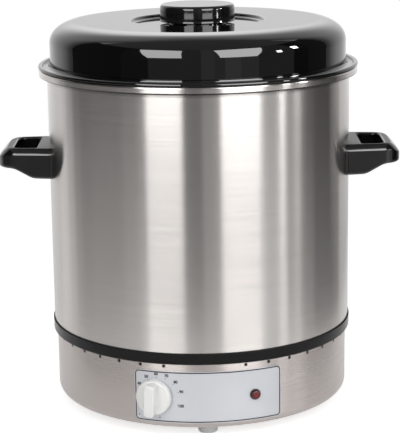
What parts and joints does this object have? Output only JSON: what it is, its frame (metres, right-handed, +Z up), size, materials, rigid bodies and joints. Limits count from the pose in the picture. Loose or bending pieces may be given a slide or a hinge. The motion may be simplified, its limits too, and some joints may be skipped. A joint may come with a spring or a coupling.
{
  "type": "wax melting pot",
  "caption": "Upright electric wax melting pot: brushed steel pot on a heated base with a turning dial, pilot lamp and loop handles, under a black domed lift-off lid.",
  "frame": {"origin": "on the surface that the feet stand on, at the pot's axis", "axes": "+Z up along the pot's axis, -Y out of the control panel, +X to the right seen from the front"},
  "size_m": [0.4672, 0.3696, 0.4675],
  "materials": {
    "pot_steel": "stainless sheet, brushed round the pot",
    "skirt_steel": "stainless sheet, brushed round the base",
    "lid_enamel": "glossy black enamel",
    "knob_black": "polished black phenolic",
    "handle_black": "semi-gloss black phenolic",
    "band_black": "satin black",
    "foot_pale": "pale translucent plastic",
    "label_sheet": "printed satin aluminium sheet",
    "dial_white": "white moulded plastic",
    "lamp_red": "clear red plastic",
    "lamp_black": "dark plastic",
    "lamp_glass": "neon bulb glass",
    "plate_steel": "galvanised sheet",
    "bright_aluminium": "mill finish",
    "fastener_steel": "zinc plated or stainless",
    "brass": "turned",
    "copper": "drawn copper",
    "silicone": "grey silicone",
    "element_sheath": "dull heater sheath",
    "thermostat_plastic": "dark moulding",
    "block_ceramic": "unglazed",
    "wire_brown": "heat resistant sleeve",
    "wire_black": "heat resistant sleeve",
    "wire_blue": "heat resistant sleeve",
    "wire_green": "heat resistant sleeve",
    "gland_black": "moulded nylon"
  },
  "bodies": {
    "base": {"pot_shell": "pot_steel", "right_handle": "handle_black", "left_handle": "handle_black", "handle_inserts": "brass", "handle_sealing_washers": "silicone", "handle_screws": "fastener_steel", "joint_band": "band_black", "base_skirt": "skirt_steel", "base_plate": "plate_steel", "foot_screws": "fastener_steel", "foot_nuts": "fastener_steel", "tie_studs": "fastener_steel", "tie_washers": "fastener_steel", "tie_nuts": "fastener_steel", "tie_spacers": "plate_steel", "heat_shield": "bright_aluminium", "shield_nuts": "fastener_steel", "control_label": "label_sheet", "thermostat_body": "thermostat_plastic", "thermostat_screws": "fastener_steel", "sensor_bulb": "copper", "bulb_clip": "plate_steel", "capillary_tube": "copper", "pilot_lamp_holder": "lamp_black", "pilot_lamp_lens": "lamp_red", "pilot_lamp_bulb": "lamp_glass", "pilot_lamp_nut": "lamp_black", "heat_spreader": "bright_aluminium", "heating_element": "element_sheath", "element_terminals": "fastener_steel", "thermal_cutout": "thermostat_plastic", "cutout_screws": "fastener_steel", "terminal_block": "block_ceramic", "terminal_screws": "brass", "terminal_block_screws": "fastener_steel", "live_wire": "wire_brown", "switched_wire": "wire_black", "neutral_wire": "wire_blue", "cutout_wire": "wire_blue", "lamp_wires": "wire_black", "earth_wire": "wire_green", "earth_lug": "fastener_steel", "earth_stud": "fastener_steel", "earth_nut": "fastener_steel", "cable_gland_body": "gland_black", "cable_gland_seal": "silicone", "cable_gland_cap": "gland_black", "cable_gland_locknut": "gland_black", "front_foot": "foot_pale", "right_foot": "foot_pale", "back_foot": "foot_pale", "left_foot": "foot_pale"},
    "lid": {"lid_shell": "lid_enamel", "lid_knob": "knob_black", "lid_knob_insert": "brass", "lid_knob_washer": "fastener_steel", "lid_knob_screw": "fastener_steel"},
    "dial": {"dial_knob": "dial_white", "thermostat_shaft": "fastener_steel"}
  },
  "joints": [
    {"name": "lid_lift", "type": "slide", "parent": "base", "child": "lid", "axis": [0, 0, 1], "range_m": [0, 0.25]},
    {"name": "dial_turn", "type": "hinge", "parent": "base", "child": "dial", "pos_m": [-0.05971, -0.16183, 0.0495], "axis": [0.3462, 0.9382, 0], "range_deg": [0, 285]}
  ]
}
